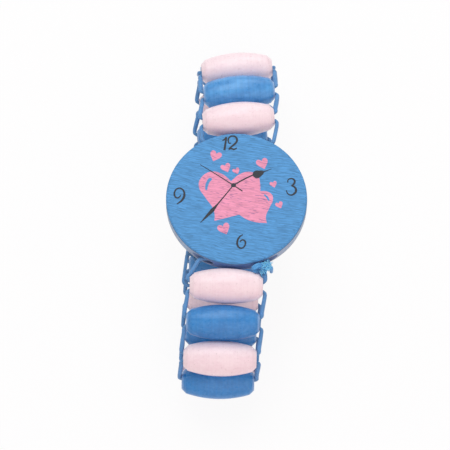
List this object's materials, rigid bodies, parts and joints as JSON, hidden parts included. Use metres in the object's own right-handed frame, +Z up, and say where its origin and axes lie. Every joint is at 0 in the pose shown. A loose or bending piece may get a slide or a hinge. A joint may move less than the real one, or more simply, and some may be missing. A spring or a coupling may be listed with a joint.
{
  "type": "toy watch",
  "caption": "Child's play wristwatch: a round painted wooden dial on a stretch strap of painted barrel beads laced on elastic cord.",
  "frame": {"origin": "on the table under the middle of the watch as it lies on its strap, dial up", "axes": "+X along the beads towards 3 o'clock, +Y towards 12 o'clock, +Z up out of the dial's front"},
  "size_m": [0.036, 0.0957, 0.0311],
  "materials": {
    "dial_paint": "matte paint, grain showing",
    "pink_paint": "satin paint",
    "blue_paint": "satin paint",
    "elastic": "braided elastic",
    "frayed_elastic": "loose shiny fibres"
  },
  "bodies": {
    "dial": {"dial": "dial_paint", "knot": "elastic", "frayed_end": "frayed_elastic"},
    "link_01": {"cord_link_01": "elastic", "tucked_tail": "elastic"},
    "link_02": {"cord_link_02": "elastic"},
    "link_03": {"cord_link_03": "elastic"},
    "link_04": {"cord_link_04": "elastic"},
    "link_05": {"cord_link_05": "elastic"},
    "link_06": {"cord_link_06": "elastic"},
    "link_07": {"cord_link_07": "elastic"},
    "link_08": {"cord_link_08": "elastic"},
    "link_09": {"cord_link_09": "elastic"},
    "link_10": {"cord_link_10": "elastic"},
    "link_11": {"cord_link_11": "elastic"},
    "link_12": {"cord_link_12": "elastic"},
    "link_13": {"cord_link_13": "elastic"},
    "link_14": {"cord_link_14": "elastic"},
    "link_15": {"cord_link_15": "elastic"},
    "link_16": {"cord_link_16": "elastic"},
    "link_17": {"cord_link_17": "elastic"},
    "link_18": {"cord_link_18": "elastic"},
    "bead_01": {"bead_01": "pink_paint"},
    "bead_02": {"bead_02": "blue_paint"},
    "bead_03": {"bead_03": "pink_paint"},
    "bead_04": {"bead_04": "blue_paint"},
    "bead_05": {"bead_05": "pink_paint"},
    "bead_06": {"bead_06": "blue_paint"},
    "bead_07": {"bead_07": "pink_paint"},
    "bead_08": {"bead_08": "blue_paint"},
    "bead_09": {"bead_09": "pink_paint"},
    "bead_10": {"bead_10": "blue_paint"},
    "bead_11": {"bead_11": "pink_paint"},
    "bead_12": {"bead_12": "blue_paint"},
    "bead_13": {"bead_13": "pink_paint"},
    "bead_14": {"bead_14": "blue_paint"},
    "bead_15": {"bead_15": "pink_paint"},
    "bead_16": {"bead_16": "blue_paint"},
    "bead_17": {"bead_17": "pink_paint"}
  },
  "joints": [
    {"name": "strap_fold", "type": "hinge", "parent": "dial", "child": "link_01", "pos_m": [-0.00211, -0.0158, 0.02747], "axis": [1, 0, 0], "range_deg": [-3, 9]},
    {"name": "fold_02", "type": "hinge", "parent": "link_01", "child": "link_02", "pos_m": [-0.00211, -0.02285, 0.02661], "axis": [1, 0, 0], "range_deg": [-2.9, 7.7]},
    {"name": "fold_03", "type": "hinge", "parent": "link_02", "child": "link_03", "pos_m": [-0.00278, -0.0316, 0.02376], "axis": [1, 0, 0], "range_deg": [-2.3, 5.9]},
    {"name": "fold_04", "type": "hinge", "parent": "link_03", "child": "link_04", "pos_m": [-0.00329, -0.03993, 0.01987], "axis": [1, 0, 0], "range_deg": [-21.2, 7.4]},
    {"name": "fold_05", "type": "hinge", "parent": "link_04", "child": "link_05", "pos_m": [-0.0037, -0.04308, 0.01123], "axis": [1, 0, 0], "range_deg": [-23, 8]},
    {"name": "fold_06", "type": "hinge", "parent": "link_05", "child": "link_06", "pos_m": [-0.00361, -0.0368, 0.0045], "axis": [1, 0, 0], "range_deg": [-2.9, 7.7]},
    {"name": "fold_07", "type": "hinge", "parent": "link_06", "child": "link_07", "pos_m": [-0.00333, -0.0276, 0.0045], "axis": [1, 0, 0], "range_deg": [-1.1, 2.3]},
    {"name": "fold_08", "type": "hinge", "parent": "link_07", "child": "link_08", "pos_m": [-0.00305, -0.0184, 0.0045], "axis": [1, 0, 0], "range_deg": [-2.3, 5.9]},
    {"name": "fold_09", "type": "hinge", "parent": "link_08", "child": "link_09", "pos_m": [-0.00278, -0.0092, 0.0045], "axis": [1, 0, 0], "range_deg": [-1.7, 4.1]},
    {"name": "fold_18", "type": "hinge", "parent": "dial", "child": "link_18", "pos_m": [-0.00406, 0.01571, 0.02747], "axis": [-0.9945, -0.1045, 0], "range_deg": [-3.5, 9.5]},
    {"name": "fold_17", "type": "hinge", "parent": "link_18", "child": "link_17", "pos_m": [0, 0.02323, 0.02661], "axis": [-0.9945, -0.1045, 0], "range_deg": [-2.9, 7.7]},
    {"name": "fold_16", "type": "hinge", "parent": "link_17", "child": "link_16", "pos_m": [0, 0.03202, 0.02376], "axis": [-0.9945, -0.1045, 0], "range_deg": [-2.3, 5.9]},
    {"name": "fold_15", "type": "hinge", "parent": "link_16", "child": "link_15", "pos_m": [-0.0007, 0.04033, 0.01987], "axis": [-0.9945, -0.1045, 0], "range_deg": [-21.2, 7.4]},
    {"name": "fold_14", "type": "hinge", "parent": "link_15", "child": "link_14", "pos_m": [-0.00096, 0.04347, 0.01123], "axis": [-0.9945, -0.1045, 0], "range_deg": [-23, 8]},
    {"name": "fold_13", "type": "hinge", "parent": "link_14", "child": "link_13", "pos_m": [-0.00124, 0.03713, 0.0045], "axis": [-0.9945, -0.1045, 0], "range_deg": [-2.9, 7.7]},
    {"name": "fold_12", "type": "hinge", "parent": "link_13", "child": "link_12", "pos_m": [-0.00154, 0.02784, 0.0045], "axis": [-0.9945, -0.1045, 0], "range_deg": [-1.1, 2.3]},
    {"name": "fold_11", "type": "hinge", "parent": "link_12", "child": "link_11", "pos_m": [-0.00185, 0.01856, 0.0045], "axis": [-0.9945, -0.1045, 0], "range_deg": [-2.3, 5.9]},
    {"name": "fold_10", "type": "hinge", "parent": "link_11", "child": "link_10", "pos_m": [-0.00213, 0.00928, 0.0045], "axis": [-0.9945, -0.1045, 0], "range_deg": [-1.7, 4.1]},
    {"name": "spin_01", "type": "hinge", "parent": "link_01", "child": "bead_01", "pos_m": [-0.00211, -0.02285, 0.02661], "axis": [1, 0, 0], "continuous": true},
    {"name": "spin_02", "type": "hinge", "parent": "link_02", "child": "bead_02", "pos_m": [-0.00278, -0.0316, 0.02376], "axis": [1, 0, 0], "continuous": true},
    {"name": "spin_03", "type": "hinge", "parent": "link_03", "child": "bead_03", "pos_m": [-0.00329, -0.03993, 0.01987], "axis": [1, 0, 0], "continuous": true},
    {"name": "spin_04", "type": "hinge", "parent": "link_04", "child": "bead_04", "pos_m": [-0.0037, -0.04308, 0.01123], "axis": [1, 0, 0], "continuous": true},
    {"name": "spin_05", "type": "hinge", "parent": "link_05", "child": "bead_05", "pos_m": [-0.00361, -0.0368, 0.0045], "axis": [1, 0, 0], "continuous": true},
    {"name": "spin_06", "type": "hinge", "parent": "link_06", "child": "bead_06", "pos_m": [-0.00333, -0.0276, 0.0045], "axis": [1, 0, 0], "continuous": true},
    {"name": "spin_07", "type": "hinge", "parent": "link_07", "child": "bead_07", "pos_m": [-0.00305, -0.0184, 0.0045], "axis": [1, 0, 0], "continuous": true},
    {"name": "spin_08", "type": "hinge", "parent": "link_08", "child": "bead_08", "pos_m": [-0.00278, -0.0092, 0.0045], "axis": [1, 0, 0], "continuous": true},
    {"name": "spin_09", "type": "hinge", "parent": "link_09", "child": "bead_09", "pos_m": [-0.00241, 0, 0.0045], "axis": [0.9986, 0.0523, 0], "continuous": true},
    {"name": "spin_10", "type": "hinge", "parent": "link_11", "child": "bead_10", "pos_m": [-0.00213, 0.00928, 0.0045], "axis": [0.9945, 0.1045, 0], "continuous": true},
    {"name": "spin_11", "type": "hinge", "parent": "link_12", "child": "bead_11", "pos_m": [-0.00185, 0.01856, 0.0045], "axis": [0.9945, 0.1045, 0], "continuous": true},
    {"name": "spin_12", "type": "hinge", "parent": "link_13", "child": "bead_12", "pos_m": [-0.00154, 0.02784, 0.0045], "axis": [0.9945, 0.1045, 0], "continuous": true},
    {"name": "spin_13", "type": "hinge", "parent": "link_14", "child": "bead_13", "pos_m": [-0.00124, 0.03713, 0.0045], "axis": [0.9945, 0.1045, 0], "continuous": true},
    {"name": "spin_14", "type": "hinge", "parent": "link_15", "child": "bead_14", "pos_m": [-0.00096, 0.04347, 0.01123], "axis": [0.9945, 0.1045, 0], "continuous": true},
    {"name": "spin_15", "type": "hinge", "parent": "link_16", "child": "bead_15", "pos_m": [-0.0007, 0.04033, 0.01987], "axis": [0.9945, 0.1045, 0], "continuous": true},
    {"name": "spin_16", "type": "hinge", "parent": "link_17", "child": "bead_16", "pos_m": [0, 0.03202, 0.02376], "axis": [0.9945, 0.1045, 0], "continuous": true},
    {"name": "spin_17", "type": "hinge", "parent": "link_18", "child": "bead_17", "pos_m": [0, 0.02323, 0.02661], "axis": [0.9945, 0.1045, 0], "continuous": true}
  ],
  "couplings": [
    {"joint": "fold_02", "follows": "strap_fold", "ratio": 0.8},
    {"joint": "fold_03", "follows": "strap_fold", "ratio": 0.6},
    {"joint": "fold_04", "follows": "strap_fold", "ratio": -2.3},
    {"joint": "fold_05", "follows": "strap_fold", "ratio": -2.5},
    {"joint": "fold_06", "follows": "strap_fold", "ratio": 0.8},
    {"joint": "fold_07", "follows": "strap_fold", "ratio": 0.2},
    {"joint": "fold_08", "follows": "strap_fold", "ratio": 0.6},
    {"joint": "fold_09", "follows": "strap_fold", "ratio": 0.4},
    {"joint": "fold_18", "follows": "strap_fold", "ratio": 1},
    {"joint": "fold_17", "follows": "strap_fold", "ratio": 0.8},
    {"joint": "fold_16", "follows": "strap_fold", "ratio": 0.6},
    {"joint": "fold_15", "follows": "strap_fold", "ratio": -2.3},
    {"joint": "fold_14", "follows": "strap_fold", "ratio": -2.5},
    {"joint": "fold_13", "follows": "strap_fold", "ratio": 0.8},
    {"joint": "fold_12", "follows": "strap_fold", "ratio": 0.2},
    {"joint": "fold_11", "follows": "strap_fold", "ratio": 0.6},
    {"joint": "fold_10", "follows": "strap_fold", "ratio": 0.4}
  ]
}
